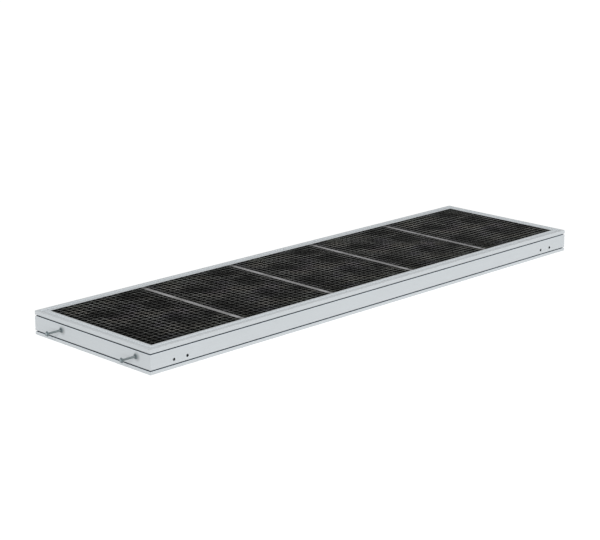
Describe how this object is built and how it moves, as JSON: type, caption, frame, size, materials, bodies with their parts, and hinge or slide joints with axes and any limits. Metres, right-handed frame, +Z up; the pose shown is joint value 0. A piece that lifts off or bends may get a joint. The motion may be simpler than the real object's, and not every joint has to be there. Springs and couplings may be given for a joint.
{
  "type": "grating walkway section",
  "caption": "Flat walkway section: extruded aluminium frame with grooved sides, dark steel mesh gratings between cross bars, side fixing holes and bolts that stand out of an end.",
  "frame": {"origin": "on the floor, at the middle of the whole length with the end bolts, and the middle of the width", "axes": "+X along the walkway away from the bolted end, +Y across it away from the front side, +Z up"},
  "size_m": [3.159, 0.86, 0.12],
  "materials": {
    "rail_aluminium": "satin, pale grey",
    "cross_bar_steel": "dull grey",
    "grating_steel": "black, bar tops worn grey",
    "fastener_steel": "zinc grey"
  },
  "bodies": {
    "root": {"side_rail_front": "rail_aluminium", "side_rail_back": "rail_aluminium", "end_rail_bolted": "rail_aluminium", "end_rail_plain": "rail_aluminium", "cross_bar_1": "cross_bar_steel", "cross_bar_2": "cross_bar_steel", "cross_bar_3": "cross_bar_steel", "cross_bar_4": "cross_bar_steel", "grating_1": "grating_steel", "grating_2": "grating_steel", "grating_3": "grating_steel", "grating_4": "grating_steel", "grating_5": "grating_steel", "end_bolt_front": "fastener_steel", "end_bolt_back": "fastener_steel", "end_nut_front": "fastener_steel", "end_nut_back": "fastener_steel"}
  },
  "joints": []
}
